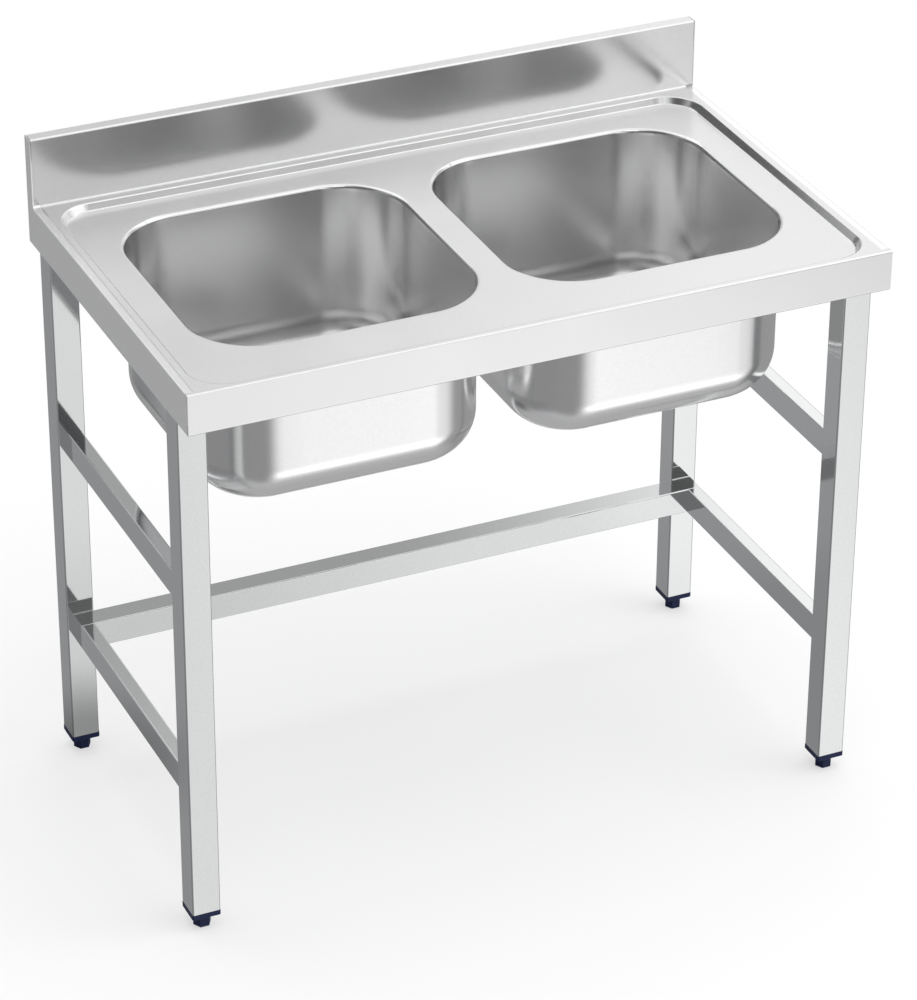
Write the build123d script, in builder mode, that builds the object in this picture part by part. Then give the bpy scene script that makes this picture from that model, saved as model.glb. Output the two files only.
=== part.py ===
from build123d import *
import os
from math import atan, degrees

# Commercial double bowl sink, in millimetres.
# +X is to the right seen from the front, +Y to the back, +Z up.
# The origin is on the floor, below the middle of the overall width and depth.

# Overall sizes
overall_width = 1000.0
overall_depth = 600.0
worktop_height = 850.0
splash_height = 100.0
splash_depth = 20.0
skirt_height = 58.0
sheet = 1.2

# Folded top and end panels
top_bend = 2.5
front_return = 14.0
splash_back_leg = 40.0
end_flange_width = 11.5
end_flange_lap = 5.5
end_strip_front = 9.0
end_corner_gap = 0.3
end_seam = 0.8
end_bend = 1.6

# Dished recess round the bowls
recess_side_border = 21.0
recess_front_border = 9.5
recess_back_border = 15.5
recess_depth = 10.0
recess_wall_run = 6.0
recess_corner = 52.0
recess_bend = 2.5

# Bowls
bowl_opening = 400.0
bowl_corner = 95.0
bowl_gap = 50.0
bowl_depth = 250.0
bowl_floor_bend = 64.0
bowl_rim_bend = 5.0
bowl_collar = 4.0
bowl_shift_back = 5.0

# Leg frame
leg_size = 40.0
leg_wall = 1.2
leg_corner = 2.0
leg_clearance = 0.3
front_leg_inset = 46.0
back_leg_inset = 36.0
side_rail_width = 20.0
side_rail_height = 40.0
rail_corner = 1.8
upper_rail_top = 535.0
lower_rail_top = 235.0
rear_rail_depth = 35.0
rear_rail_height = 39.0

# Leg brackets under the top, and their screws
bracket_thickness = 3.0
bracket_reach = 19.0
bracket_margin = 8.0
stub_wall = 2.0
stub_length = 55.0
stub_fit = 0.2
leg_screw_size = 6.0
leg_screw_length = 12.0
leg_screw_head = 11.0
leg_screw_head_height = 3.0
leg_screw_drop = 14.0
leg_screw_pitch = 18.0
screw_clearance = 0.2

# Stiffening channels under the front and back ledges
channel_width = 30.0
channel_height = 22.0
channel_lip = 6.0
channel_end_gap = 0.4
back_channel_shift = 8.0

# Bolts of the rear rail
rail_bolt_size = 8.0
rail_bolt_pitch = 18.0
rail_bolt_head = 13.0
rail_bolt_head_height = 5.3
rail_bolt_end = 12.0
rail_washer = 16.0
rail_washer_thickness = 1.6
rail_nut_height = 6.5

# Adjustable feet
foot_hex = 22.0
foot_height = 20.7
foot_gap = 0.3
foot_chamfer = 1.2
foot_bore_depth = 13.0
foot_bore_fit = 0.08
cap_flange_height = 8.0
cap_overhang = 0.5
cap_edge = 1.0
cap_plug_length = 26.0
cap_plug_fit = 0.2
cap_skin = 2.5
cap_boss_wall = 4.5
stem_size = 10.0
stem_fit = 0.08
stem_reserve = 22.0
stem_end_chamfer = 1.0

# Basket waste
waste_dish_depth = 2.5
waste_dish = 118.0
waste_hole_diameter = 90.0
waste_flange = 114.0
waste_flange_thickness = 1.5
waste_cup_bore = 80.0
waste_cup_outer = 86.0
waste_cup_depth = 40.0
waste_cup_base = 2.0
waste_drain_hole = 8.0
waste_drain_circle_diameter = 23.0
waste_drain_count = 6
waste_pin_hole = 7.0
outlet_outer = 47.8
outlet_bore = 40.0
outlet_length = 18.0
rubber_washer = 110.0
rubber_washer_bore = 88.0
rubber_washer_thickness = 3.0
backnut_diameter = 102.0
backnut_height = 10.0
backnut_lug = 5.0
backnut_lug_width = 12.0
backnut_lug_count = 6
nut_thread_fit = 0.2

# Lift-out strainer basket
basket_rim = 78.6
basket_rim_thickness = 1.2
basket_rim_drop = 1.0
basket_body = 70.0
basket_skin = 1.0
basket_floor_rise = 6.0
basket_floor_bend = 4.0
basket_hole = 5.0
basket_slot_count = 12
basket_slot_width = 5.0
basket_slot_height = 20.0
basket_slot_rise = 8.0
basket_floor_count = 8
basket_floor_circle = 50.0
basket_post = 7.0
basket_knob = 18.0
basket_knob_height = 7.0
basket_knob_drop = 4.0
basket_knob_edge = 1.5
basket_pin = 6.0
basket_pin_length = 3.0
basket_seal = 40.0
basket_seal_gap = 0.3

# Planes and centres that the pieces share
half_width = overall_width / 2
half_depth = overall_depth / 2
skirt_bottom = worktop_height - skirt_height
splash_face = half_depth - splash_depth
splash_top = worktop_height + splash_height
splash_half = half_width - sheet - end_seam
recess_floor = worktop_height - recess_depth
recess_width = overall_width - 2 * recess_side_border
recess_front = -half_depth + recess_front_border
recess_back = splash_face - recess_back_border
recess_length = recess_back - recess_front
recess_middle = (recess_front + recess_back) / 2
recess_taper = degrees(atan(recess_wall_run / recess_depth))
bowl_x = (bowl_opening + bowl_gap) / 2
bowl_y = bowl_shift_back
bowl_top = recess_floor - bowl_rim_bend - bowl_collar
bowl_floor = recess_floor - bowl_depth
dish_floor = bowl_floor - waste_dish_depth

os.makedirs("parts", exist_ok=True)
pieces = {}


# Folded top: front apron, deck and splashback from one sheet, with the pressed recess
with BuildPart() as recess_hollow:
    with BuildSketch(Plane.XY.offset(worktop_height)):
        with Locations((0, recess_middle)):
            RectangleRounded(recess_width, recess_length, recess_corner)
    extrude(amount=-recess_depth, taper=recess_taper)
    fillet(recess_hollow.edges().group_by(Axis.Z)[0], radius=recess_bend)

with BuildPart() as recess_tray:
    with BuildSketch(Plane.XY.offset(worktop_height)):
        with Locations((0, recess_middle)):
            RectangleRounded(recess_width + 2 * sheet, recess_length + 2 * sheet, recess_corner + sheet)
    extrude(amount=-recess_depth - sheet, taper=recess_taper)
    fillet(recess_tray.edges().group_by(Axis.Z)[0], radius=recess_bend + sheet)
    add(recess_hollow.part, mode=Mode.SUBTRACT)

# Collars turned down into the bowl openings, each a sheet ring with a rounded lip
collar_reach = bowl_rim_bend + sheet
bowl_outside = bowl_opening + 2 * sheet
collar_size = bowl_opening + 2 * collar_reach
collar_corner = bowl_corner + collar_reach
bowls_at = ((-bowl_x, bowl_y), (bowl_x, bowl_y))


def inner_edges(part):
    """The edges round the holes of the highest flat face."""
    lips = part.faces().filter_by(Axis.Z).group_by(Axis.Z)[-1]
    return [edge for face in lips for wire in face.inner_wires() for edge in wire.edges()]


with BuildPart() as collars:
    with BuildSketch(Plane.XY.offset(bowl_top)):
        with Locations(*bowls_at):
            RectangleRounded(collar_size, collar_size, collar_corner)
            RectangleRounded(bowl_opening, bowl_opening, bowl_corner, mode=Mode.SUBTRACT)
    extrude(amount=recess_floor - bowl_top)
    fillet(inner_edges(collars), radius=bowl_rim_bend)

with BuildPart() as collar_undercut:
    with BuildSketch(Plane.XY.offset(bowl_top)):
        with Locations(*bowls_at):
            RectangleRounded(collar_size, collar_size, collar_corner)
            RectangleRounded(bowl_outside, bowl_outside, bowl_corner + sheet, mode=Mode.SUBTRACT)
    extrude(amount=recess_floor - sheet - bowl_top)
    fillet(inner_edges(collar_undercut), radius=bowl_rim_bend - sheet)

with BuildPart() as worktop:
    # Section from the front return round to the back leg of the splashback
    with BuildSketch(Plane.YZ.offset(-half_width)):
        with BuildLine():
            FilletPolyline(
                (-half_depth + front_return, skirt_bottom),
                (-half_depth, skirt_bottom),
                (-half_depth, worktop_height),
                (splash_face, worktop_height),
                (splash_face, splash_top),
                (half_depth, splash_top),
                (half_depth, splash_top - splash_back_leg),
                radius=top_bend,
            )
            offset(amount=sheet, side=Side.RIGHT)
        make_face()
    extrude(amount=overall_width)
    # The deck stops short of the sides, where the end panels' flanges show
    strip_start = -half_depth + end_strip_front
    strip_length = splash_face + sheet - strip_start
    with BuildSketch(Plane.XY.offset(worktop_height + top_bend)):
        for side in (-1, 1):
            with Locations((side * half_width, strip_start + strip_length / 2)):
                Rectangle(2 * end_flange_width, strip_length)
    extrude(amount=-2 * top_bend, mode=Mode.SUBTRACT)
    # The front return stops inside the end panels
    with BuildSketch(Plane.XY.offset(skirt_bottom)):
        for side in (-1, 1):
            with Locations((side * half_width, -half_depth + top_bend + front_return / 2)):
                Rectangle(2 * (half_width - splash_half), front_return)
    extrude(amount=2 * sheet, mode=Mode.SUBTRACT)
    # The splashback ends inside the end panels, behind a narrow seam
    with BuildSketch(Plane.XY.offset(worktop_height)):
        for side in (-1, 1):
            with Locations((side * half_width, splash_face + splash_depth / 2)):
                Rectangle(2 * (half_width - splash_half), splash_depth)
    extrude(amount=splash_height, mode=Mode.SUBTRACT)
    # The recess
    with BuildSketch(Plane.XY.offset(worktop_height)):
        with Locations((0, recess_middle)):
            RectangleRounded(recess_width, recess_length, recess_corner)
    extrude(amount=-sheet, mode=Mode.SUBTRACT)
    add(recess_tray.part)
    deck_faces = worktop.faces().filter_by(Axis.Z).filter_by_position(
        Axis.Z, worktop_height - sheet, worktop_height
    )
    deck_top = deck_faces.sort_by(Axis.Z)[-1]
    fillet(deck_top.inner_wires().edges(), radius=recess_bend)
    # The two bowl openings with their collars
    with BuildSketch(Plane.XY.offset(recess_floor)):
        with Locations(*bowls_at):
            RectangleRounded(collar_size, collar_size, collar_corner)
    extrude(amount=-recess_depth, mode=Mode.SUBTRACT)
    add(collars.part)
    add(collar_undercut.part, mode=Mode.SUBTRACT)
pieces["worktop"] = worktop

# End panels: side skirt, flange under the deck edge and closed end of the splashback
flange_top = worktop_height - sheet
flange_width = end_flange_width + end_flange_lap
panel_front = -half_depth + top_bend + end_corner_gap
for name, side in (("left_end_panel", -1), ("right_end_panel", 1)):
    with BuildPart() as end_panel:
        with BuildSketch(Plane.XZ.offset(-panel_front)):
            with BuildLine():
                FilletPolyline(
                    (side * (half_width - flange_width), flange_top),
                    (side * half_width, flange_top),
                    (side * half_width, skirt_bottom),
                    radius=end_bend,
                )
                offset(amount=sheet, side=Side.RIGHT if side > 0 else Side.LEFT)
            make_face()
        extrude(amount=panel_front - splash_face)
        with BuildSketch(Plane.YZ.offset(side * half_width)):
            with Locations((splash_face + splash_depth / 2, (skirt_bottom + splash_top) / 2)):
                Rectangle(splash_depth, splash_top - skirt_bottom)
        extrude(amount=-side * sheet)
    pieces[name] = end_panel

# Pressed bowls, welded under the collars, each with a dished waste hole
for name, side in (("left_bowl", -1), ("right_bowl", 1)):
    with BuildPart() as bowl:
        with BuildSketch(Plane.XY.offset(bowl_top)):
            with Locations((side * bowl_x, bowl_y)):
                RectangleRounded(bowl_outside, bowl_outside, bowl_corner + sheet)
        extrude(amount=bowl_floor - sheet - bowl_top)
        fillet(bowl.edges().group_by(Axis.Z)[0], radius=bowl_floor_bend + sheet)
        with BuildSketch(Plane.XY.offset(bowl_floor)):
            with Locations((side * bowl_x, bowl_y)):
                Circle(waste_dish / 2 + sheet)
        extrude(amount=-waste_dish_depth - sheet)
        with BuildSketch(Plane.XY.offset(bowl_top)) as bowl_mouth:
            with Locations((side * bowl_x, bowl_y)):
                RectangleRounded(bowl_opening, bowl_opening, bowl_corner)
        hollow = extrude(bowl_mouth.sketch, amount=bowl_floor - bowl_top, mode=Mode.PRIVATE)
        hollow = hollow.fillet(bowl_floor_bend, hollow.edges().group_by(Axis.Z)[0])
        add(hollow, mode=Mode.SUBTRACT)
        with BuildSketch(Plane.XY.offset(bowl_floor)):
            with Locations((side * bowl_x, bowl_y)):
                Circle(waste_dish / 2)
        extrude(amount=-waste_dish_depth, mode=Mode.SUBTRACT)
        with BuildSketch(Plane.XY.offset(bowl_floor)):
            with Locations((side * bowl_x, bowl_y)):
                Circle(waste_hole_diameter / 2)
        extrude(amount=-waste_dish_depth - sheet, mode=Mode.SUBTRACT)
    pieces[name] = bowl

# Leg positions, shared by the legs, brackets, rails, feet and screws
leg_x = half_width - sheet - leg_clearance - leg_size / 2
front_leg_y = -half_depth + front_leg_inset + leg_size / 2
back_leg_y = half_depth - back_leg_inset - leg_size / 2
legs_at = {
    "front_left": (-leg_x, front_leg_y),
    "front_right": (leg_x, front_leg_y),
    "back_left": (-leg_x, back_leg_y),
    "back_right": (leg_x, back_leg_y),
}
leg_bottom = foot_height + foot_gap + cap_flange_height
leg_top = recess_floor - sheet - bracket_thickness
screw_heights = [leg_top - leg_screw_drop - row * leg_screw_pitch for row in range(2)]
rail_bolt_middle = lower_rail_top - rear_rail_height / 2
bolt_heights = [rail_bolt_middle - rail_bolt_pitch / 2, rail_bolt_middle + rail_bolt_pitch / 2]
rear_rail_front = back_leg_y - leg_size / 2 - rear_rail_depth
rear_rail_back = back_leg_y - leg_size / 2

# Legs of square tube, drilled for the bracket screws and for the rail bolts
leg_inside = leg_size - 2 * leg_wall
for corner, (x, y) in legs_at.items():
    inward = -1 if x > 0 else 1
    with BuildPart() as leg:
        with BuildSketch(Plane.XY.offset(leg_bottom)):
            with Locations((x, y)):
                RectangleRounded(leg_size, leg_size, leg_corner)
                RectangleRounded(leg_inside, leg_inside, leg_corner - leg_wall, mode=Mode.SUBTRACT)
        extrude(amount=leg_top - leg_bottom)
        with BuildSketch(Plane.YZ.offset(x)):
            with Locations(*[(y, height) for height in screw_heights]):
                Circle(leg_screw_size / 2 + screw_clearance)
        extrude(amount=inward * leg_size, mode=Mode.SUBTRACT)
        if y > 0:
            with BuildSketch(Plane.XZ.offset(-y - leg_size)):
                with Locations(*[(x, height) for height in bolt_heights]):
                    Circle(rail_bolt_size / 2 + screw_clearance)
            extrude(amount=2 * leg_size, mode=Mode.SUBTRACT)
    pieces[f"{corner}_leg"] = leg

# Brackets: a plate welded under the recess and a stub inside the leg
stub_size = leg_inside - 2 * stub_fit
for corner, (x, y) in legs_at.items():
    inward = -1 if x > 0 else 1
    plate_width = leg_size + bracket_reach
    plate_length = leg_size + 2 * bracket_margin
    with BuildPart() as bracket:
        with BuildSketch(Plane.XY.offset(leg_top)):
            with Locations((x + inward * bracket_reach / 2, y)):
                Rectangle(plate_width, plate_length)
        extrude(amount=bracket_thickness)
        with BuildSketch(Plane.XY.offset(leg_top)):
            with Locations((x, y)):
                RectangleRounded(stub_size, stub_size, leg_corner - leg_wall)
                Rectangle(stub_size - 2 * stub_wall, stub_size - 2 * stub_wall, mode=Mode.SUBTRACT)
        extrude(amount=-stub_length)
        with BuildSketch(Plane.YZ.offset(x)):
            with Locations(*[(y, height) for height in screw_heights]):
                Circle(leg_screw_size / 2 + screw_clearance)
        extrude(amount=inward * leg_size, mode=Mode.SUBTRACT)
    pieces[f"{corner}_bracket"] = bracket

# Screws that hold the legs on the stubs, in from the middle of the sink
with BuildPart() as leg_screws:
    for x, y in legs_at.values():
        inward = -1 if x > 0 else 1
        seat = x + inward * leg_size / 2
        with BuildSketch(Plane.YZ.offset(seat)):
            with Locations(*[(y, height) for height in screw_heights]):
                Circle(leg_screw_head / 2)
        extrude(amount=inward * leg_screw_head_height)
        with BuildSketch(Plane.YZ.offset(seat)):
            with Locations(*[(y, height) for height in screw_heights]):
                Circle(leg_screw_size / 2)
        extrude(amount=-inward * leg_screw_length)
pieces["leg_screws"] = leg_screws

# Side rails between the legs; the lower ones stop at the rear rail
side_rail_front = front_leg_y + leg_size / 2
for name, side, top, back in (
    ("left_upper_rail", -1, upper_rail_top, rear_rail_back),
    ("right_upper_rail", 1, upper_rail_top, rear_rail_back),
    ("left_lower_rail", -1, lower_rail_top, rear_rail_front),
    ("right_lower_rail", 1, lower_rail_top, rear_rail_front),
):
    with BuildPart() as side_rail:
        with BuildSketch(Plane.XZ.offset(-side_rail_front)):
            with Locations((side * leg_x, top - side_rail_height / 2)):
                RectangleRounded(side_rail_width, side_rail_height, rail_corner)
                RectangleRounded(
                    side_rail_width - 2 * leg_wall,
                    side_rail_height - 2 * leg_wall,
                    rail_corner - leg_wall,
                    mode=Mode.SUBTRACT,
                )
        extrude(amount=side_rail_front - back)
    pieces[name] = side_rail

# Rear rail in front of the back legs, closed at both ends, bolted through the legs
rear_rail_half = leg_x + side_rail_width / 2
rear_rail_y = (rear_rail_front + rear_rail_back) / 2
with BuildPart() as rear_rail:
    with BuildSketch(Plane.YZ.offset(-rear_rail_half + leg_wall)):
        with Locations((rear_rail_y, rail_bolt_middle)):
            RectangleRounded(rear_rail_depth, rear_rail_height, rail_corner)
            RectangleRounded(
                rear_rail_depth - 2 * leg_wall,
                rear_rail_height - 2 * leg_wall,
                rail_corner - leg_wall,
                mode=Mode.SUBTRACT,
            )
    extrude(amount=2 * (rear_rail_half - leg_wall))
    with BuildSketch(Plane.XZ.offset(-rear_rail_back)):
        with Locations(*[(side * leg_x, height) for side in (-1, 1) for height in bolt_heights]):
            Circle(rail_bolt_size / 2 + screw_clearance)
    extrude(amount=rear_rail_depth / 2, mode=Mode.SUBTRACT)
pieces["rear_rail"] = rear_rail

for name, side in (("rear_rail_left_end", -1), ("rear_rail_right_end", 1)):
    with BuildPart() as rail_end:
        with BuildSketch(Plane.YZ.offset(side * (rear_rail_half - leg_wall))):
            with Locations((rear_rail_y, rail_bolt_middle)):
                RectangleRounded(rear_rail_depth, rear_rail_height, rail_corner)
        extrude(amount=side * leg_wall)
    pieces[name] = rail_end

# Bolts, washers and nuts of the rear rail: heads behind the back legs
bolt_seat = back_leg_y + leg_size / 2 + rail_washer_thickness
bolt_spots = [(side * leg_x, height) for side in (-1, 1) for height in bolt_heights]
with BuildPart() as rail_bolts:
    with BuildSketch(Plane.XZ.offset(-bolt_seat)):
        with Locations(*bolt_spots):
            RegularPolygon(rail_bolt_head / 2, 6, major_radius=False)
    extrude(amount=-rail_bolt_head_height)
    with BuildSketch(Plane.XZ.offset(-bolt_seat)):
        with Locations(*bolt_spots):
            Circle(rail_bolt_size / 2)
    extrude(amount=bolt_seat - rear_rail_back + rail_bolt_end)
pieces["rail_bolts"] = rail_bolts

with BuildPart() as rail_washers:
    with BuildSketch(Plane.XZ.offset(-bolt_seat)):
        with Locations(*bolt_spots):
            Circle(rail_washer / 2)
            Circle(rail_bolt_size / 2 + screw_clearance, mode=Mode.SUBTRACT)
    extrude(amount=rail_washer_thickness)
pieces["rail_washers"] = rail_washers

with BuildPart() as rail_nuts:
    with BuildSketch(Plane.XZ.offset(-rear_rail_back + leg_wall)):
        with Locations(*bolt_spots):
            RegularPolygon(rail_bolt_head / 2, 6, major_radius=False)
            Circle(rail_bolt_size / 2 + screw_clearance / 2, mode=Mode.SUBTRACT)
    extrude(amount=rail_nut_height)
pieces["rail_nuts"] = rail_nuts

# Stiffening channels under the ledges, between the brackets
channel_top = recess_floor - sheet
channel_half = leg_x - leg_size / 2 - bracket_reach - channel_end_gap
for name, y in (("front_channel", front_leg_y), ("back_channel", back_leg_y - back_channel_shift)):
    with BuildPart() as channel:
        with BuildSketch(Plane.YZ.offset(-channel_half)):
            with Locations((y, channel_top - channel_height / 2)):
                Rectangle(channel_width, channel_height)
                Rectangle(channel_width - 2 * sheet, channel_height - 2 * sheet, mode=Mode.SUBTRACT)
            with Locations((y, channel_top - channel_height)):
                Rectangle(channel_width - 2 * channel_lip, 2 * sheet, mode=Mode.SUBTRACT)
        extrude(amount=2 * channel_half)
    pieces[name] = channel

# Adjustable feet: plastic cap in the leg, threaded stem and hexagonal foot
cap_bottom = foot_height + foot_gap
cap_plug = leg_inside - 2 * cap_plug_fit
cap_width = leg_size + 2 * cap_overhang
cap_hollow = cap_plug - 2 * cap_skin
stem_radius = stem_size / 2
stem_top = cap_bottom + cap_flange_height + cap_plug_length + stem_reserve
for corner, (x, y) in legs_at.items():
    with BuildPart() as cap:
        with BuildSketch(Plane.XY.offset(cap_bottom)):
            with Locations((x, y)):
                RectangleRounded(cap_width, cap_width, leg_corner + cap_overhang)
        extrude(amount=cap_flange_height)
        chamfer(cap.edges().group_by(Axis.Z)[0], length=cap_edge)
        with BuildSketch(Plane.XY.offset(leg_bottom)):
            with Locations((x, y)):
                RectangleRounded(cap_plug, cap_plug, leg_corner - leg_wall)
                RectangleRounded(cap_hollow, cap_hollow, cap_skin, mode=Mode.SUBTRACT)
        extrude(amount=cap_plug_length)
        with BuildSketch(Plane.XY.offset(leg_bottom)):
            with Locations((x, y)):
                Circle(stem_radius + stem_fit + cap_boss_wall)
                Rectangle(cap_plug - cap_skin, cap_skin)
                Rectangle(cap_skin, cap_plug - cap_skin)
        extrude(amount=cap_plug_length)
        with BuildSketch(Plane.XY.offset(cap_bottom)):
            with Locations((x, y)):
                Circle(stem_radius + stem_fit)
        extrude(amount=cap_flange_height + cap_plug_length, mode=Mode.SUBTRACT)
    pieces[f"{corner}_cap"] = cap

    with BuildPart() as stem:
        with BuildSketch(Plane.XY.offset(foot_height - foot_bore_depth)):
            with Locations((x, y)):
                Circle(stem_radius)
        extrude(amount=stem_top - foot_height + foot_bore_depth)
        chamfer(stem.edges().group_by(Axis.Z)[-1], length=stem_end_chamfer)
    pieces[f"{corner}_stem"] = stem

    with BuildPart() as foot:
        with BuildSketch(Plane.XY):
            with Locations((x, y)):
                RegularPolygon(foot_hex / 2, 6, major_radius=False)
        extrude(amount=foot_height)
        chamfer(foot.edges().group_by(Axis.Z)[0], length=foot_chamfer)
        with BuildSketch(Plane.XY.offset(foot_height)):
            with Locations((x, y)):
                Circle(stem_radius + foot_bore_fit)
        extrude(amount=-foot_bore_depth, mode=Mode.SUBTRACT)
    pieces[f"{corner}_foot"] = foot

# Basket wastes, one in the floor of each bowl
flange_top_z = dish_floor + waste_flange_thickness
cup_floor = dish_floor - waste_cup_depth
cup_bottom = cup_floor - waste_cup_base
outlet_end = cup_bottom - outlet_length
washer_top = dish_floor - sheet
backnut_top = washer_top - rubber_washer_thickness
backnut_bottom = backnut_top - backnut_height
for hand, side in (("left", -1), ("right", 1)):
    centre = (side * bowl_x, bowl_y)

    with BuildPart() as waste_cup:
        with BuildSketch(Plane.XY.offset(dish_floor)):
            with Locations(centre):
                Circle(waste_flange / 2)
        extrude(amount=waste_flange_thickness)
        with BuildSketch(Plane.XY.offset(dish_floor)):
            with Locations(centre):
                Circle(waste_cup_outer / 2)
        extrude(amount=cup_bottom - dish_floor)
        with BuildSketch(Plane.XY.offset(cup_bottom)):
            with Locations(centre):
                Circle(outlet_outer / 2)
        extrude(amount=-outlet_length)
        with BuildSketch(Plane.XY.offset(flange_top_z)):
            with Locations(centre):
                Circle(waste_cup_bore / 2)
        extrude(amount=cup_floor - flange_top_z, mode=Mode.SUBTRACT)
        with BuildSketch(Plane.XY.offset(outlet_end)):
            with Locations(centre):
                Circle(outlet_bore / 2)
        extrude(amount=outlet_length, mode=Mode.SUBTRACT)
        with BuildSketch(Plane.XY.offset(cup_bottom)):
            with Locations(centre):
                Circle(waste_pin_hole / 2)
                with PolarLocations(waste_drain_circle_diameter / 2, waste_drain_count):
                    Circle(waste_drain_hole / 2)
        extrude(amount=waste_cup_base, mode=Mode.SUBTRACT)
    pieces[f"{hand}_waste_cup"] = waste_cup

    with BuildPart() as rubber_ring:
        with BuildSketch(Plane.XY.offset(backnut_top)):
            with Locations(centre):
                Circle(rubber_washer / 2)
                Circle(rubber_washer_bore / 2, mode=Mode.SUBTRACT)
        extrude(amount=rubber_washer_thickness)
    pieces[f"{hand}_waste_washer"] = rubber_ring

    with BuildPart() as backnut:
        with BuildSketch(Plane.XY.offset(backnut_bottom)):
            with Locations(centre):
                Circle(backnut_diameter / 2)
                with PolarLocations(backnut_diameter / 2, backnut_lug_count):
                    Rectangle(2 * backnut_lug, backnut_lug_width)
                Circle(waste_cup_outer / 2 + nut_thread_fit, mode=Mode.SUBTRACT)
        extrude(amount=backnut_height)
    pieces[f"{hand}_waste_backnut"] = backnut

    basket_top = flange_top_z - basket_rim_drop
    basket_base = cup_floor + basket_floor_rise
    with BuildPart() as basket:
        with BuildSketch(Plane.XY.offset(basket_base)):
            with Locations(centre):
                Circle(basket_body / 2)
        extrude(amount=basket_top - basket_base)
        fillet(basket.edges().group_by(Axis.Z)[0], radius=basket_floor_bend)
        with BuildSketch(Plane.XY.offset(basket_top)):
            with Locations(centre):
                Circle(basket_rim / 2)
        extrude(amount=-basket_rim_thickness)
        with BuildSketch(Plane.XY.offset(basket_top)) as basket_mouth:
            with Locations(centre):
                Circle(basket_body / 2 - basket_skin)
        basket_depth = basket_top - basket_base - basket_skin
        inside = extrude(basket_mouth.sketch, amount=-basket_depth, mode=Mode.PRIVATE)
        inside = inside.fillet(basket_floor_bend - basket_skin, inside.edges().group_by(Axis.Z)[0])
        add(inside, mode=Mode.SUBTRACT)
        # Upright slots through the side and round holes through the floor
        slot_middle = basket_base + basket_slot_rise + basket_slot_height / 2
        with Locations((*centre, slot_middle)):
            with PolarLocations(basket_body / 2, basket_slot_count):
                Box(4 * basket_skin, basket_slot_width, basket_slot_height, mode=Mode.SUBTRACT)
        with BuildSketch(Plane.XY.offset(basket_base)):
            with Locations(centre):
                with PolarLocations(basket_floor_circle / 2, basket_floor_count):
                    Circle(basket_hole / 2)
        extrude(amount=basket_skin, mode=Mode.SUBTRACT)
        # Post with its knob above the floor and its pin below
        knob_top = basket_top - basket_knob_drop
        with BuildSketch(Plane.XY.offset(basket_base)):
            with Locations(centre):
                Circle(basket_post / 2)
        extrude(amount=knob_top - basket_base)
        with BuildSketch(Plane.XY.offset(knob_top)):
            with Locations(centre):
                Circle(basket_knob / 2)
        extrude(amount=-basket_knob_height)
        fillet(basket.edges().filter_by_position(Axis.Z, knob_top, knob_top), radius=basket_knob_edge)
        with BuildSketch(Plane.XY.offset(basket_base)):
            with Locations(centre):
                Circle(basket_pin / 2)
        extrude(amount=-basket_floor_rise - basket_pin_length)
    pieces[f"{hand}_basket"] = basket

    with BuildPart() as basket_seal_ring:
        with BuildSketch(Plane.XY.offset(cup_floor + basket_seal_gap)):
            with Locations(centre):
                Circle(basket_seal / 2)
                Circle(basket_pin / 2, mode=Mode.SUBTRACT)
        extrude(amount=basket_floor_rise - basket_seal_gap)
    pieces[f"{hand}_basket_seal"] = basket_seal_ring

for name, piece in pieces.items():
    piece.part.label = name
    export_step(piece.part, f"parts/{name}.step")
print(len(pieces), "pieces")
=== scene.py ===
import math

import bmesh
import bpy
from mathutils import Matrix, Vector


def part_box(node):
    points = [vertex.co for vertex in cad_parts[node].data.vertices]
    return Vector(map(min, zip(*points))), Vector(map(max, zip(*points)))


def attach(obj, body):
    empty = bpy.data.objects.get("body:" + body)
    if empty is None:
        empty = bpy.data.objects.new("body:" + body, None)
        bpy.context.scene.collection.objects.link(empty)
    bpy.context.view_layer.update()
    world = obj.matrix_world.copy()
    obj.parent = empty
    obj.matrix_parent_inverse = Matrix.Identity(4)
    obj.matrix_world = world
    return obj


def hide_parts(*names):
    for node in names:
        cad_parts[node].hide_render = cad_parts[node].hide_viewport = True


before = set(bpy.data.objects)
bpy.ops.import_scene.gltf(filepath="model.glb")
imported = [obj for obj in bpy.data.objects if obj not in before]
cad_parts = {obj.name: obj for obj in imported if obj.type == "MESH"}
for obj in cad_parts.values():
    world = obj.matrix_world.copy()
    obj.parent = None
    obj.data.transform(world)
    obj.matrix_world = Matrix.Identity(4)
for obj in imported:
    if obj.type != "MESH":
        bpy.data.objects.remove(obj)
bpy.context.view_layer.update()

# The photograph's view. The camera stands in front and to the left and looks 30 degrees down through a
# long lens. Its place, its turn and its lens were worked out from the corners of the sink.
shown = bpy.context.scene
shown.view_settings.view_transform = "Standard"
eye = Vector((-2.04415, -4.50354, 3.28780))
looking_right = Vector((0.91133, -0.411643, 0.00519))
looking_down = Vector((-0.202051, -0.45823, -0.865564))
looking_ahead = Vector((0.358682, 0.787766, -0.500772))
picture_width = 917
focal_length = 4108.84  # in dots of the picture
lens = bpy.data.cameras.new("view")
lens.sensor_fit = "HORIZONTAL"
lens.sensor_width = 36.0
lens.lens = lens.sensor_width * focal_length / picture_width
lens.clip_end = 60.0
camera = bpy.data.objects.new("view", lens)
shown.collection.objects.link(camera)
turn = Matrix((looking_right, -looking_down, -looking_ahead)).transposed().to_4x4()
camera.matrix_world = Matrix.Translation(eye) @ turn
shown.camera = camera


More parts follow.
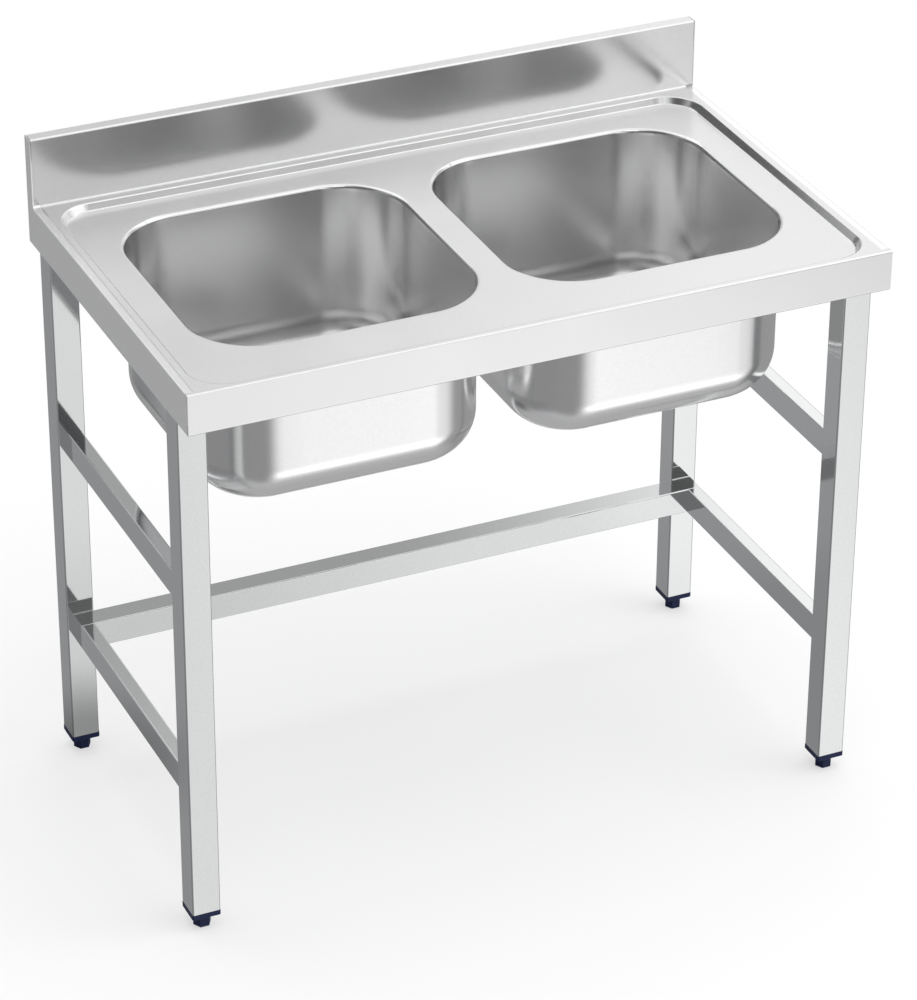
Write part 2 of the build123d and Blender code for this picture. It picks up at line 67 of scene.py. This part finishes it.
# The studio round the sink: walls and a broad ceiling light, which the bright metal shows. The ceiling
# and the right are bright, the left is dim, and the dark room shows through gaps beside the camera.
class Level:
    """A number that varies over a surface or over the studio: sums with it add Math nodes."""

    def __init__(self, tree, socket):
        self.tree = tree
        self.socket = socket

    def combine(self, operation, first, second):
        node = self.tree.nodes.new("ShaderNodeMath")
        node.operation = operation
        for target, item in zip(node.inputs, (first, second)):
            if isinstance(item, Level):
                self.tree.links.new(item.socket, target)
            else:
                target.default_value = item
        return Level(self.tree, node.outputs[0])

    def __add__(self, other):
        return self.combine("ADD", self, other)

    def __radd__(self, other):
        return self.combine("ADD", other, self)

    def __sub__(self, other):
        return self.combine("SUBTRACT", self, other)

    def __rsub__(self, other):
        return self.combine("SUBTRACT", other, self)

    def __mul__(self, other):
        return self.combine("MULTIPLY", self, other)

    def __rmul__(self, other):
        return self.combine("MULTIPLY", other, self)

    def blend(self, other, share):
        """This level, going over to the other one as share goes from 0 to 1."""
        return self + (other - self) * share


class Recipe:
    """The nodes of one finish, or of the studio round the sink."""

    def __init__(self, tree):
        self.tree = tree
        tree.nodes.clear()

    def node(self, kind, settings, sockets, result=0):
        """Adds a node: its settings first, then the values or links of its sockets."""
        node = self.tree.nodes.new("ShaderNode" + kind)
        for name, value in settings.items():
            setattr(node, name, value)
        for name, value in sockets.items():
            socket = node.inputs[name]
            if isinstance(value, Level):
                self.tree.links.new(value.socket, socket)
            else:
                socket.default_value = value
        return Level(self.tree, node.outputs[result]) if node.outputs else None

    def rise(self, level, low, high):
        """0 below low, 1 above high and a soft rise between."""
        return self.node(
            "MapRange",
            {"interpolation_type": "SMOOTHSTEP"},
            {"Value": level, "From Min": low, "From Max": high},
        )

    def axis(self, vector, name):
        """One coordinate of a vector."""
        return self.node("SeparateXYZ", {}, {"Vector": vector}, name)

    def along(self, first, second):
        """How far one vector goes along another."""
        return self.node("VectorMath", {"operation": "DOT_PRODUCT"}, {0: first, 1: second}, "Value")

    def product(self, first, second):
        """Two vectors multiplied, coordinate by coordinate."""
        return self.node("VectorMath", {"operation": "MULTIPLY"}, {0: first, 1: second})

    def length(self, vector):
        return self.node("VectorMath", {"operation": "LENGTH"}, {0: vector}, "Value")

    def noise(self, place, scale, detail, roughness):
        sockets = {"Vector": place, "Scale": scale, "Detail": detail, "Roughness": roughness}
        return self.node("TexNoise", {}, sockets)


world = bpy.data.worlds.new("studio")
world.use_nodes = True
shown.world = world
studio = Recipe(world.node_tree)
direction = studio.node("TexCoord", {}, {}, "Generated")
across = studio.axis(direction, "X")
away = studio.axis(direction, "Y")
upward = studio.axis(direction, "Z")

# Low down, the left is grey and the right is bright, with a paler band between and a bright strip on
# the right. The back is grey, and a little paler straight below.
pale_band = studio.rise(across, 0.28, 0.38) - studio.rise(across, 0.39, 0.49)
low_strip = studio.rise(0 - upward, 0.57, 0.64) - studio.rise(0 - upward, 0.72, 0.80)
below = 0.26 + 0.02 * studio.rise(across, -0.85, -0.35) + 0.60 * studio.rise(across, -0.12, 0.26)
below = below + 0.24 * pale_band
below = below.blend(0.30, studio.rise(upward, -0.43, -0.39) * studio.rise(across, 0.38, 0.44))
low_back = 0.22 + 0.10 * studio.rise(across, -0.85, -0.35)
low_back = low_back.blend(0.47, studio.rise(0 - upward, 0.70, 0.88))
low_back = low_back + 0.06 * studio.rise(0 - across, 0.33, 0.40) * studio.rise(upward, -0.53, -0.47)
below = below + 0.45 * low_strip * studio.rise(across, 0.0, 0.2)
below = below.blend(low_back, studio.rise(away, -0.62, -0.34))

# In front, the left is dark and the right is bright. Two dark gaps show in the frame's joints.
near_gap = studio.along(direction, (0.27, -0.83, 0.487))
far_gap = studio.along(direction, (0.404, -0.766, 0.500))
ahead = 0.12 + 1.04 * studio.rise(across, -0.05, 0.24)
ahead = ahead.blend(0.16, studio.rise(near_gap, 0.970, 0.996) * (1.0 - studio.rise(across, 0.31, 0.40)))
ahead = ahead.blend(0.12, studio.rise(far_gap, 0.9965, 0.9990))

# Behind, a bright wall stands on the right, a narrower pale one in the middle, and the left is grey.
middle_wall = studio.rise(across, -0.14, -0.04) - studio.rise(across, 0.10, 0.20)
behind = 0.48 - 0.30 * studio.rise(across, -0.30, -0.14) + 0.26 * studio.rise(across, -0.05, 0.20)
behind = behind + 0.72 * studio.rise(across, 0.335, 0.435)
behind = behind + 0.50 * middle_wall - 0.72 * studio.rise(across, 0.44, 0.59)
above = ahead.blend(behind, studio.rise(away, -0.35, 0.25))

# The ceiling light fades towards the left and the front, and is a little weaker straight overhead.
ceiling = studio.rise(upward, 0.52, 0.66) * studio.rise(across, -0.75, -0.40)
ceiling = ceiling * (1.0 - studio.rise(0 - away, -0.20, 0.30) * studio.rise(0 - across, 0.15, 0.60))
above = above.blend(1.45 - 0.50 * studio.rise(upward, 0.80, 0.92), ceiling)

# The camera sees plain white behind the sink. The light is a little cooler on the left.
glow = below.blend(above, studio.rise(upward, -0.08, 0.08))
glow = glow.blend(1.0, studio.node("LightPath", {}, {}, "Is Camera Ray"))
cool_light, plain_light = (0.992, 0.996, 1.012, 1), (0.998, 1.0, 0.997, 1)
tint = studio.node(
    "Mix",
    {"data_type": "RGBA"},
    {"Factor": studio.rise(across, -0.3, 0.2), 6: cool_light, 7: plain_light},
    2,
)
studio_light = studio.node("Background", {}, {"Color": tint, "Strength": glow})
studio.node("OutputWorld", {}, {"Surface": studio_light})

# The floor is a plain white sheet, 60 m wide. The camera sees it white, with the soft shadow of the
# sink on it. The metal sees through it to the studio, but for a painted shadow below the sink: a dark
# patch, deepest round the back left foot, that stands in for the floor's shadow where the metal mirrors
# it.
floor_half = 30.0
floor_corners = [(x * floor_half, y * floor_half, 0) for x, y in ((-1, -1), (1, -1), (1, 1), (-1, 1))]
floor_mesh = bpy.data.meshes.new("floor")
floor_mesh.from_pydata(floor_corners, [], [(0, 1, 2, 3)])
floor = bpy.data.objects.new("floor", floor_mesh)
shown.collection.objects.link(floor)
floor_paint = bpy.data.materials.new("floor_white")
floor_paint.use_nodes = True
coat = Recipe(floor_paint.node_tree)
seen = coat.node("LightPath", {}, {}, "Is Camera Ray")
mirrored = coat.node("LightPath", {}, {}, "Is Glossy Ray")
through = coat.node("LightPath", {}, {}, "Is Transmission Ray")
spot = coat.node("NewGeometry", {}, {}, "Position")
whiteness = 0.57 + 0.43 * coat.rise(coat.length(spot), 0.55, 1.6)
matt = coat.node("BsdfDiffuse", {}, {"Color": (0.86, 0.86, 0.86, 1)})
white = coat.node("Emission", {}, {"Color": (1, 1, 1, 1), "Strength": 1.0})
sheet = coat.node("MixShader", {}, {0: (seen + mirrored + through) * whiteness, 1: matt, 2: white})
spot_x = coat.axis(spot, "X")
spot_y = coat.axis(spot, "Y")
# Painted shadow: a dark patch, faint under the whole sink and deep round the back left foot, which only
# the metal sees.
back_left_foot = (-0.47, 0.20, 0.0)
from_foot = coat.node("VectorMath", {"operation": "DISTANCE"}, {0: spot, 1: back_left_foot}, "Value")
under_sink_shadow = coat.rise(spot_x, -0.60, -0.42) * coat.rise(0 - spot_x, -0.60, -0.42)
under_sink_shadow = under_sink_shadow * coat.rise(spot_y, -0.45, -0.15) * coat.rise(0 - spot_y, -0.35, -0.20)
sink_shadow_strength, foot_shadow_strength = 0.10, 0.55
painted_floor_shadow = sink_shadow_strength * under_sink_shadow + foot_shadow_strength * (1.0 - coat.rise(from_foot, 0.04, 0.25))
see_through = coat.node("BsdfTransparent", {}, {})
# The painted shadow's dark glow, with the studio seen through it everywhere else.
dark = coat.node("Emission", {}, {"Color": (0.5, 0.5, 0.5, 1), "Strength": 0.05})
in_metal = coat.node("MixShader", {}, {0: painted_floor_shadow, 1: see_through, 2: dark})
floor_face = coat.node("MixShader", {}, {0: mirrored, 1: sheet, 2: in_metal})
coat.node("OutputMaterial", {}, {"Surface": floor_face})
floor_mesh.materials.append(floor_paint)


# Two broad soft lamps, one overhead and one on the right, light what isn't mirror-like. The metal
# doesn't show them, because it shows the studio.
def hang_light(name, place, aim, width, power):
    lamp = bpy.data.lights.new(name, "AREA")
    lamp.shape = "SQUARE"
    lamp.size = width
    lamp.energy = power
    body = bpy.data.objects.new(name, lamp)
    shown.collection.objects.link(body)
    facing = (Vector(aim) - Vector(place)).to_track_quat("-Z", "Y").to_matrix().to_4x4()
    body.matrix_world = Matrix.Translation(place) @ facing
    body.visible_glossy = False


hang_light("overhead", place=(0.3, -0.3, 3.6), aim=(0.0, 0.0, 0.0), width=3.2, power=62.0)
hang_light("from_right", place=(3.4, -1.6, 2.2), aim=(0.0, 0.0, 0.5), width=2.4, power=24.0)


# Legs and rails: bright stainless tube with a faint grain along it, 40 mm square for the legs and
# flatter for the rails. The side rails are welded to the legs, and the rear rail is bolted through its
# end plates.
def steel(name, tone, dullness, grain, lines_along="", cloud=0.03, metallic=1.0, finish_and_shade=None):
    """A steel with fine lines along an axis; with no axis they are only specks. The grain is their
    depth in metres, and cloud is how far the tone drifts. A finish_and_shade changes one kind of piece's
    roughness, grain and painted shade."""
    metal = bpy.data.materials.new(name)
    metal.use_nodes = True
    mix = Recipe(metal.node_tree)
    place = mix.node("TexCoord", {}, {}, "Object")
    close, stretched = 1800.0, 14.0  # waves to a metre
    closeness = {axis: stretched if axis == lines_along else close for axis in "XYZ"}
    lines = mix.noise(mix.product(place, tuple(closeness.values())), 1.0, 2.0, 0.6)
    patches = mix.noise(place, 7.0, 3.0, 0.55)
    speck = mix.noise(place, 420.0, 2.0, 0.6)
    line_tone, speck_tone = 0.05, 0.12
    shade = 1.0 + (patches - 0.5) * cloud + (lines - 0.5) * line_tone + (speck - 0.5) * speck_tone
    satin = dullness + (patches - 0.5) * dullness * 0.25 + (lines - 0.5) * 0.04
    depth = lines
    if finish_and_shade:
        shade, satin, depth = finish_and_shade(mix, shade, satin, depth)
    colour = mix.node("VectorMath", {"operation": "SCALE"}, {0: tone, "Scale": shade})
    bump = mix.node("Bump", {}, {"Strength": 1.0, "Distance": grain, "Height": depth})
    skin = {"Base Color": colour, "Metallic": metallic, "Roughness": satin, "Normal": bump}
    mix.node("OutputMaterial", {}, {"Surface": mix.node("BsdfPrincipled", {}, skin)})
    return metal


def dress(node, metal):
    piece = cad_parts[node]
    piece.data.materials.clear()
    piece.data.materials.append(metal)


# The rear rail takes a darker copy of the tube steel: painted shade on the rear rail.
tube_tone, shaded_cross_tube_tone = (0.762, 0.771, 0.774), (0.70, 0.707, 0.71)
tube_dullness, tube_grain = 0.07, 1.2e-7
upright_steel = steel("leg_tube_steel", tube_tone, tube_dullness, tube_grain, "Z")
side_tube_steel = steel("side_rail_steel", tube_tone, tube_dullness, tube_grain, "Y")
shaded_cross_tube_steel = steel("cross_rail_shaded_steel", shaded_cross_tube_tone, tube_dullness, tube_grain, "X")
corners = ("front_left", "front_right", "back_left", "back_right")
for corner in corners:
    dress(f"{corner}_leg", upright_steel)
for height in ("upper", "lower"):
    for hand in ("left", "right"):
        dress(f"{hand}_{height}_rail", side_tube_steel)
dress("rear_rail", shaded_cross_tube_steel)
dress("rear_rail_left_end", upright_steel)
dress("rear_rail_right_end", upright_steel)


# Top: the deck, the apron and the splashback are folded from one satin stainless sheet, and the dish
# round the bowls is pressed into it. The end panels are cut from the same sheet and close its ends.
top_dullness, steep_dullness = 0.33, 0.20


def fold_finish_and_shade(mix, shade, satin, depth):
    """Folding leaves the steep faces smoother and so brighter than the deck; the bends that lean back are
    painted darker, as painted shade.
    """
    out = mix.node("NewGeometry", {}, {}, "True Normal")
    level = mix.axis(out, "Z")
    satin = satin + (steep_dullness - top_dullness) * (1.0 - mix.rise(level, 0.80, 0.97))
    # Painted shade: faces that lean back and up, the far sides of the bends, are darker in colour.
    backward = mix.along(out, (0.8, 1.0, 0.0))
    shade = shade * (1.0 - 0.5 * mix.rise(backward, 0.04, 0.30) * mix.rise(level, 0.5, 0.8))
    return shade, satin, depth


top_steel = steel(
    "top_sheet_steel", (0.85, 0.85, 0.85), top_dullness, grain=3e-7, lines_along="X", finish_and_shade=fold_finish_and_shade
)
# The end panels get a lighter, partly matt copy of the top's steel: painted light that brightens their
# faces.
lit_end_steel = steel(
    "end_sheet_lit_steel", (0.95, 0.95, 0.95), dullness=0.26, grain=2e-7, lines_along="Y", metallic=0.84
)
dress("worktop", top_steel)
dress("left_end_panel", lit_end_steel)
dress("right_end_panel", lit_end_steel)


# Bowls: deep pressings of 1.2 mm stainless sheet with full corners, a wide bend into the floor and a
# pressed seat for the waste. Each is drawn in one piece and welded to the collar of the top. Its skin
# is satin, a little duller inside, and the inside carries painted shade.
def rounded_square(half, corner):
    """Points round a square, with its corners in fine steps and its sides in coarse ones."""
    corner_steps, side_steps = 24, 6
    straight = half - corner
    points = []
    for quarter in range(4):
        run = []
        for step in range(corner_steps + 1):
            angle = math.pi / 2 * step / corner_steps
            run.append((straight + corner * math.cos(angle), straight + corner * math.sin(angle)))
        for step in range(1, side_steps):
            run.append((straight - 2 * straight * step / side_steps, half))
        c, s = (1, 0, -1, 0)[quarter], (0, 1, 0, -1)[quarter]
        points += [(x * c - y * s, x * s + y * c) for x, y in run]
    return points


def add_piece(name, mesh):
    """Makes an object of the built mesh."""
    data = bpy.data.meshes.new(name)
    mesh.to_mesh(data)
    mesh.free()
    piece = bpy.data.objects.new(name, data)
    shown.collection.objects.link(piece)
    return piece


def press_bowl(name, centre, rim, under):
    """The bowl from its rim down to the floor, through the hole and up again outside."""
    skin = 0.0012
    half, corner, bend = 0.2, 0.095, 0.064
    seat_depth, hole = 0.0025, 0.045
    edge = 0.0005  # a narrow row beside each bend keeps the flats flat
    wall_steps, bend_steps = 8, 24
    seat = under + skin
    base = seat + seat_depth
    low = base + bend
    foot_half, foot_corner = half - bend, corner - bend
    outer_half, outer_corner, outer_bend = half + skin, corner + skin, bend + skin

    rings = [(half, corner, rim), (half, corner, rim - edge)]
    for step in range(1, wall_steps):
        rings.append((half, corner, rim + (low - rim) * step / wall_steps))
    rings.append((half, corner, low + edge))
    for step in range(bend_steps + 1):
        angle = math.pi / 2 * step / bend_steps
        inset = bend * (1 - math.cos(angle))
        rings.append((half - inset, corner - inset, base + bend * (1 - math.sin(angle))))
    rings.append((foot_half - edge, foot_corner - edge, base))
    # the floor's flat, the rounded edge of the seat, the hole, and the seat again from below
    for reach, height in (
        (0.1, base), (0.0622, base), (0.0612, base - 0.0001), (0.0602, base - 0.0005),
        (0.0594, base - 0.0012), (0.0588, base - 0.0019), (0.0582, base - 0.0023),
        (0.0574, seat), (hole, seat), (hole, under),
        (0.0602, under), (0.0606, under + 0.0002), (0.0608, under + 0.0024), (0.0614, base - skin),
    ):
        rings.append((reach, 0.0, height))
    rings.append((foot_half - edge, foot_corner - edge, base - skin))
    for step in range(bend_steps, -1, -1):
        angle = math.pi / 2 * step / bend_steps
        inset = outer_bend * (1 - math.cos(angle))
        height = base - skin + outer_bend * (1 - math.sin(angle))
        rings.append((outer_half - inset, outer_corner - inset, height))
    rings.append((outer_half, outer_corner, low + edge))
    for step in range(1, wall_steps):
        rings.append((outer_half, outer_corner, low + (rim - low) * step / wall_steps))
    rings += [(outer_half, outer_corner, rim - edge), (outer_half, outer_corner, rim)]

    mesh = bmesh.new()
    foot = rounded_square(foot_half, foot_corner)
    loops = []
    for size, turn_size, height in rings:
        if turn_size:
            points = rounded_square(size, turn_size)
        else:
            points = [(size * x / math.hypot(x, y), size * y / math.hypot(x, y)) for x, y in foot]
        loops.append([mesh.verts.new((centre[0] + x, centre[1] + y, height)) for x, y in points])
    for loop, following in zip(loops, loops[1:] + loops[:1]):
        for step in range(len(loop)):
            after = (step + 1) % len(loop)
            mesh.faces.new((loop[step], loop[after], following[after], following[step])).smooth = True
    piece = add_piece(name, mesh)
    piece.data.set_sharp_from_angle(angle=math.radians(50))
    return piece


def bowl_finish_and_shade(mix, heart, shade, satin, depth):
    """Inside, the skin is duller and painted darker as shade; the floor is smoother and so brighter, with
    rings round the waste.
    """
    out = mix.node("NewGeometry", {}, {}, "True Normal")
    spot = mix.node("NewGeometry", {}, {}, "Position")
    outward = mix.node("VectorMath", {"operation": "SUBTRACT"}, {0: spot, 1: heart})
    within = mix.rise(0 - mix.along(out, outward), -0.005, 0.005)
    base = mix.rise(mix.axis(out, "Z"), 0.75, 0.97) * within
    radius = mix.length(mix.product(outward, (1, 1, 0)))
    rings = mix.node(
        "TexNoise", {"noise_dimensions": "1D"}, {"W": radius * 1500.0, "Scale": 1.0, "Detail": 1.0}
    )
    inner_shade_tone, inner_dulling, floor_brightening, ring_depth = 0.83, 0.06, 0.08, 3.0
    # Painted shade: the whole inside of the bowl is darker in colour than the outside.
    shade = shade * (1.0 - (1.0 - inner_shade_tone) * within)
    satin = satin + inner_dulling * within - floor_brightening * base
    depth = depth + (rings - 0.5) * ring_depth * base
    return shade, satin, depth


def measure(node):
    """The middle of a node from above, half its width, and its least and greatest height."""
    (x0, y0, z0), (x1, y1, z1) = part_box(node)
    return ((x0 + x1) / 2, (y0 + y1) / 2), (x1 - x0) / 2, z0, z1


heart_height = 0.74
for hand in ("left", "right"):
    middle, _, lowest, highest = measure(f"{hand}_bowl")
    bowl_steel = steel(
        f"{hand}_bowl_steel", (0.92, 0.92, 0.92), dullness=0.19, grain=8e-7,
        finish_and_shade=lambda mix, *skin: bowl_finish_and_shade(mix, (*middle, heart_height), *skin),
    )
    bowl = press_bowl(f"{hand}_pressed_bowl", middle, highest, lowest)
    bowl.data.materials.append(bowl_steel)
    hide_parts(f"{hand}_bowl")
    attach(bowl, "sink")

# Brackets, channels and fasteners: folded and cut from plain mill-finished stainless sheet, they stand
# out of sight under the top. The brackets' stubs fit the legs and are held there by stainless screws,
# and bolts with washers and nuts hold the rear rail.
plain_steel = steel("bracket_steel", (0.60, 0.60, 0.61), dullness=0.38, grain=4e-7)
bolt_steel = steel("fastener_steel", (0.66, 0.66, 0.67), dullness=0.30, grain=3e-7)
for corner in corners:
    dress(f"{corner}_bracket", plain_steel)
for name in ("front_channel", "back_channel"):
    dress(name, plain_steel)
for name in ("leg_screws", "rail_bolts", "rail_washers", "rail_nuts"):
    dress(name, bolt_steel)


# Feet: each leg ends in a cap with a hexagonal foot below it. Both are moulded in dark blue plastic
# with a fine matt skin, and the cap is pressed into the tube.
def plastic(name, tone, dullness, skin_depth):
    stuff = bpy.data.materials.new(name)
    stuff.use_nodes = True
    mix = Recipe(stuff.node_tree)
    place = mix.node("TexCoord", {}, {}, "Object")
    patches = mix.noise(place, 60.0, 3.0, 0.6)
    fine = mix.noise(place, 2600.0, 2.0, 0.6)
    shade = 1.0 + (patches - 0.5) * 0.3 + (fine - 0.5) * 0.2
    colour = mix.node("VectorMath", {"operation": "SCALE"}, {0: tone, "Scale": shade})
    bump = mix.node("Bump", {}, {"Strength": 1.0, "Distance": skin_depth, "Height": fine})
    matt_skin = dullness + (patches - 0.5) * 0.12
    skin = {"Base Color": colour, "Roughness": matt_skin, "Specular IOR Level": 0.25, "Normal": bump}
    mix.node("OutputMaterial", {}, {"Surface": mix.node("BsdfPrincipled", {}, skin)})
    return stuff


blue_plastic = plastic("blue_plastic", (0.007, 0.014, 0.062), dullness=0.45, skin_depth=1.5e-5)
for corner in corners:
    dress(f"{corner}_cap", blue_plastic)
    dress(f"{corner}_foot", blue_plastic)


# Stems of the feet: 10 mm zinc-plated rods with a rolled thread of 1.5 mm pitch and a chamfered upper
# end. Each replaces the plain rod of the solid and slides with it.
def cut_thread(name, centre, low, high, radius, pitch, depth, lead, sides, inner=0.0):
    """A thread round the line up through centre; inner makes it a sleeve and not a rod."""
    pitch_steps = 8
    flat, flank = 0.12, 0.74  # shares of half a pitch at the root and on the way up
    rows = int(round((high - low) / pitch * pitch_steps)) + 1
    mesh = bmesh.new()

    def ring_point(reach, step, height):
        angle = 2 * math.pi * step / sides
        x = centre[0] + reach * math.cos(angle)
        y = centre[1] + reach * math.sin(angle)
        return mesh.verts.new((x, y, height))

    rings = []
    for row in range(rows):
        height = low + (high - low) * row / (rows - 1)
        ring = []
        for step in range(sides):
            part = (height / pitch - step / sides) % 1.0
            crest = min(1.0, max(0.0, (abs(2 * part - 1) - flat) / flank))
            reach = radius - depth * (1 - crest)
            reach = min(reach, radius - max(0.0, lead - min(height - low, high - height)))
            ring.append(ring_point(reach, step, height))
        rings.append(ring)
    for lower, upper in zip(rings, rings[1:]):
        for step in range(sides):
            after = (step + 1) % sides
            mesh.faces.new((lower[step], lower[after], upper[after], upper[step])).smooth = True
    if inner:
        for ring, height, up in ((rings[0], low, False), (rings[-1], high, True)):
            hole = [ring_point(inner, step, height) for step in range(sides)]
            for step in range(sides):
                after = (step + 1) % sides
                face = (ring[step], ring[after], hole[after], hole[step])
                mesh.faces.new(face if up else face[::-1])
    else:
        mesh.faces.new(rings[0][::-1])
        mesh.faces.new(rings[-1])
    return add_piece(name, mesh)


zinc = steel("zinc_plated_rod", (0.62, 0.63, 0.66), dullness=0.26, grain=3e-7, cloud=0.12)
for corner in corners:
    middle, radius, lowest, highest = measure(f"{corner}_stem")
    rod = cut_thread(
        f"{corner}_threaded_stem", middle, lowest, highest, radius,
        pitch=0.0015, depth=0.00075, lead=0.001, sides=28,
    )
    rod.data.materials.append(zinc)
    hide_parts(f"{corner}_stem")
    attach(rod, f"{corner}_stem")


# Seams under the top: each bowl is welded to the collar of the sheet all round, and the rippled bead
# stays under the top, where it isn't ground away.
def weld_round(name, centre, half, corner, height, thickness):
    """A rippled bead along a rounded square."""
    sides, pitch = 8, 0.0013
    bulge = 1.3
    straight = half - corner
    side_length = 2 * straight
    quarter_length = side_length + math.pi * corner / 2
    count = int(4 * quarter_length / pitch)
    mesh = bmesh.new()
    rings = []
    for index in range(count):
        place = index * 4 * quarter_length / count
        quarter = int(place // quarter_length)
        place -= quarter * quarter_length
        if place < side_length:
            point, facing = Vector((half, -straight + place)), 0.0
        else:
            facing = (place - side_length) / corner
            point = Vector((straight + corner * math.cos(facing), straight + corner * math.sin(facing)))
        angle = facing + quarter * math.pi / 2
        c, s = math.cos(quarter * math.pi / 2), math.sin(quarter * math.pi / 2)
        point = Vector((point.x * c - point.y * s, point.x * s + point.y * c))
        ripple = 0.16 * math.sin(index * 2 * math.pi / 2.5) + 0.08 * math.sin(index * 0.37)
        swell = thickness * (1 + ripple)
        ring = []
        for step in range(sides):
            round_angle = 2 * math.pi * step / sides
            reach = swell * math.cos(round_angle)
            x = centre[0] + point.x + reach * math.cos(angle)
            y = centre[1] + point.y + reach * math.sin(angle)
            ring.append(mesh.verts.new((x, y, height + swell * bulge * math.sin(round_angle))))
        rings.append(ring)
    for index, ring in enumerate(rings):
        following = rings[(index + 1) % count]
        for step in range(sides):
            after = (step + 1) % sides
            mesh.faces.new((ring[step], following[step], following[after], ring[after])).smooth = True
    bmesh.ops.recalc_face_normals(mesh, faces=mesh.faces)
    return add_piece(name, mesh)


collar_corner, bead_thickness = 0.0962, 0.0009
weld_steel = steel("weld_bead_steel", (0.56, 0.55, 0.53), dullness=0.36, grain=6e-7, cloud=0.3)
for hand in ("left", "right"):
    middle, half, _, highest = measure(f"{hand}_bowl")
    seam = weld_round(f"{hand}_bowl_seam", middle, half, collar_corner, highest, bead_thickness)
    seam.data.materials.append(weld_steel)
    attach(seam, "sink")

# Basket wastes: a polished stainless cup is clamped into each bowl's floor by a white plastic nut on
# its threaded outlet, with a rubber washer between. The basket lifts out of the cup, and its rubber
# seal closes it.
waste_steel = steel("waste_steel", (0.80, 0.80, 0.81), dullness=0.14, grain=1e-7)
white_plastic = plastic("white_plastic", (0.80, 0.80, 0.78), dullness=0.38, skin_depth=1e-5)
black_rubber = plastic("black_rubber", (0.025, 0.025, 0.026), dullness=0.62, skin_depth=3e-5)
outlet_radius, sleeve_wall = 0.0438, 0.001
thread_start, nut_gap = 0.021, 0.0005
for hand in ("left", "right"):
    dress(f"{hand}_waste_cup", waste_steel)
    dress(f"{hand}_waste_washer", black_rubber)
    dress(f"{hand}_waste_backnut", white_plastic)
    dress(f"{hand}_basket", waste_steel)
    dress(f"{hand}_basket_seal", black_rubber)
    middle, _, lowest, _ = measure(f"{hand}_waste_cup")
    nut_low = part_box(f"{hand}_waste_backnut")[0][2]
    collar = cut_thread(
        f"{hand}_waste_thread", middle, lowest + thread_start, nut_low - nut_gap, outlet_radius,
        pitch=0.002, depth=0.0008, lead=0.0008, sides=96, inner=outlet_radius - sleeve_wall,
    )
    collar.data.materials.append(waste_steel)
    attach(collar, "sink")
